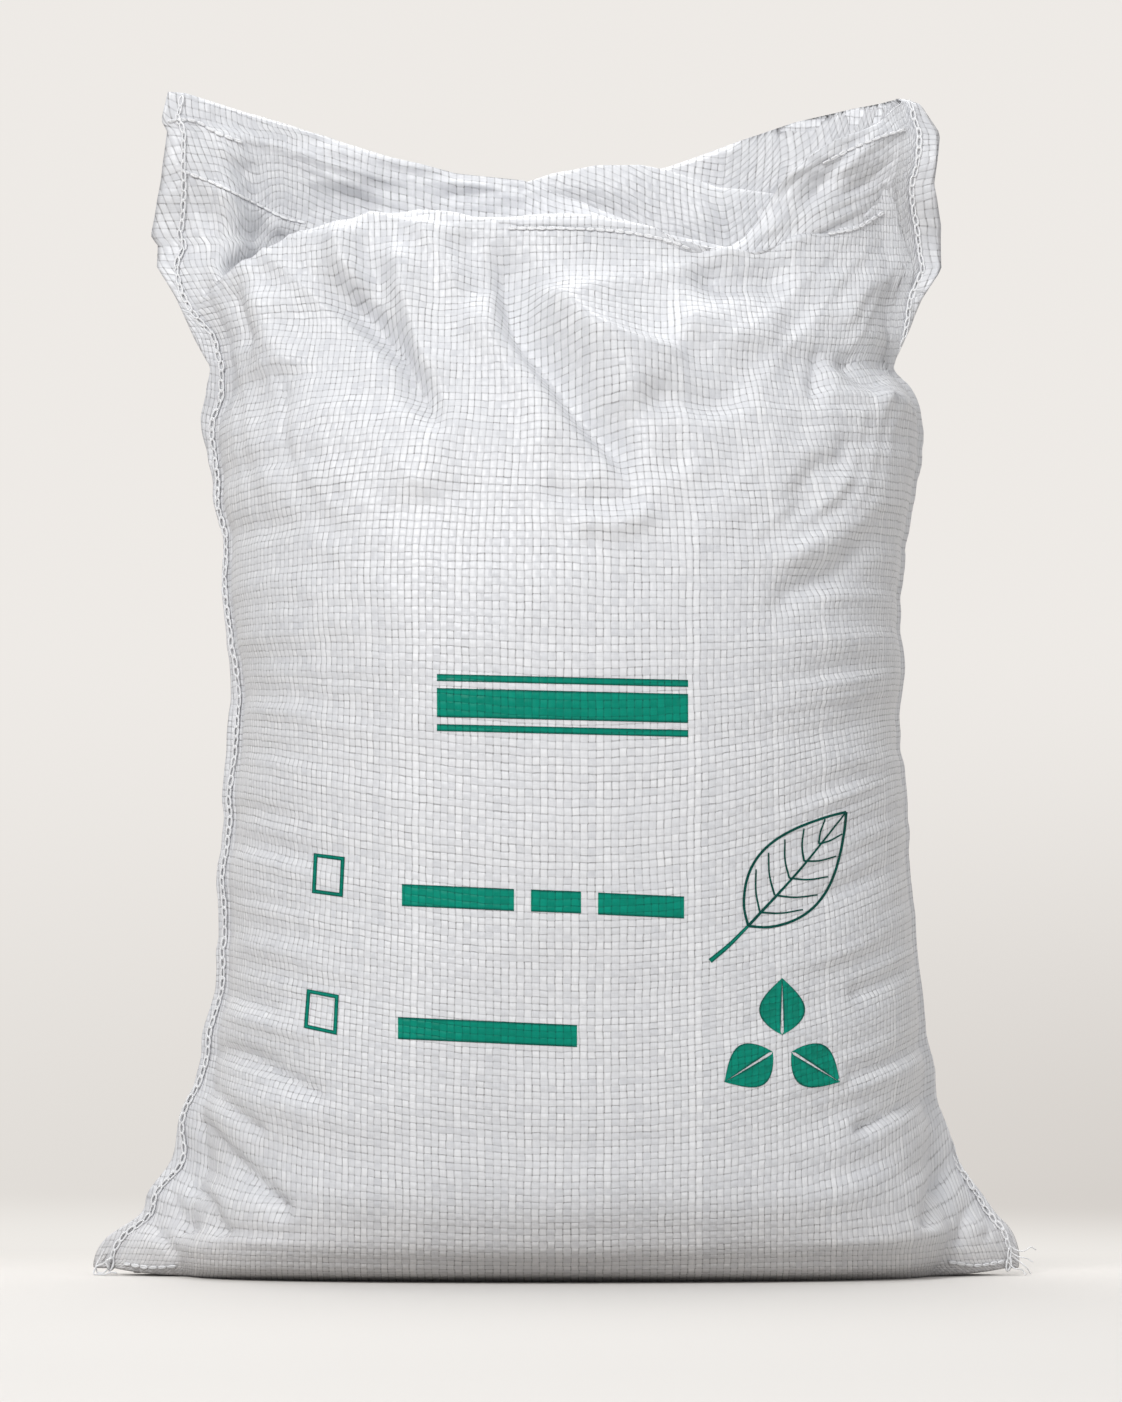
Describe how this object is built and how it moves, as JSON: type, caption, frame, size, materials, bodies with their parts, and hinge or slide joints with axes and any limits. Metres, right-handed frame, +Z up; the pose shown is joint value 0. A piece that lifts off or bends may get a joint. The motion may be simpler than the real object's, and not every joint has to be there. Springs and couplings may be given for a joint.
{
  "type": "compost bag",
  "caption": "Upright filled sack of coarse woven tape cloth with sewn side and bottom seams, pinched bottom corners and a slumped, rumpled mouth between two ears.",
  "frame": {"origin": "on the floor, under the middle of the sack's bounding box", "axes": "+Z up, -Y is the printed front, +X is to the right of someone who looks at the front"},
  "size_m": [0.498, 0.2662, 0.6392],
  "materials": {
    "woven_cloth": "white woven polypropylene tape, slightly glossy, with dark gaps between the tapes and flat green print",
    "thread": "matt white twisted sewing thread"
  },
  "bodies": {
    "root": {"sack": "woven_cloth", "left_seam_thread": "thread", "right_seam_thread": "thread", "bottom_seam_thread": "thread", "front_hem_thread": "thread", "back_hem_thread": "thread"}
  },
  "joints": []
}
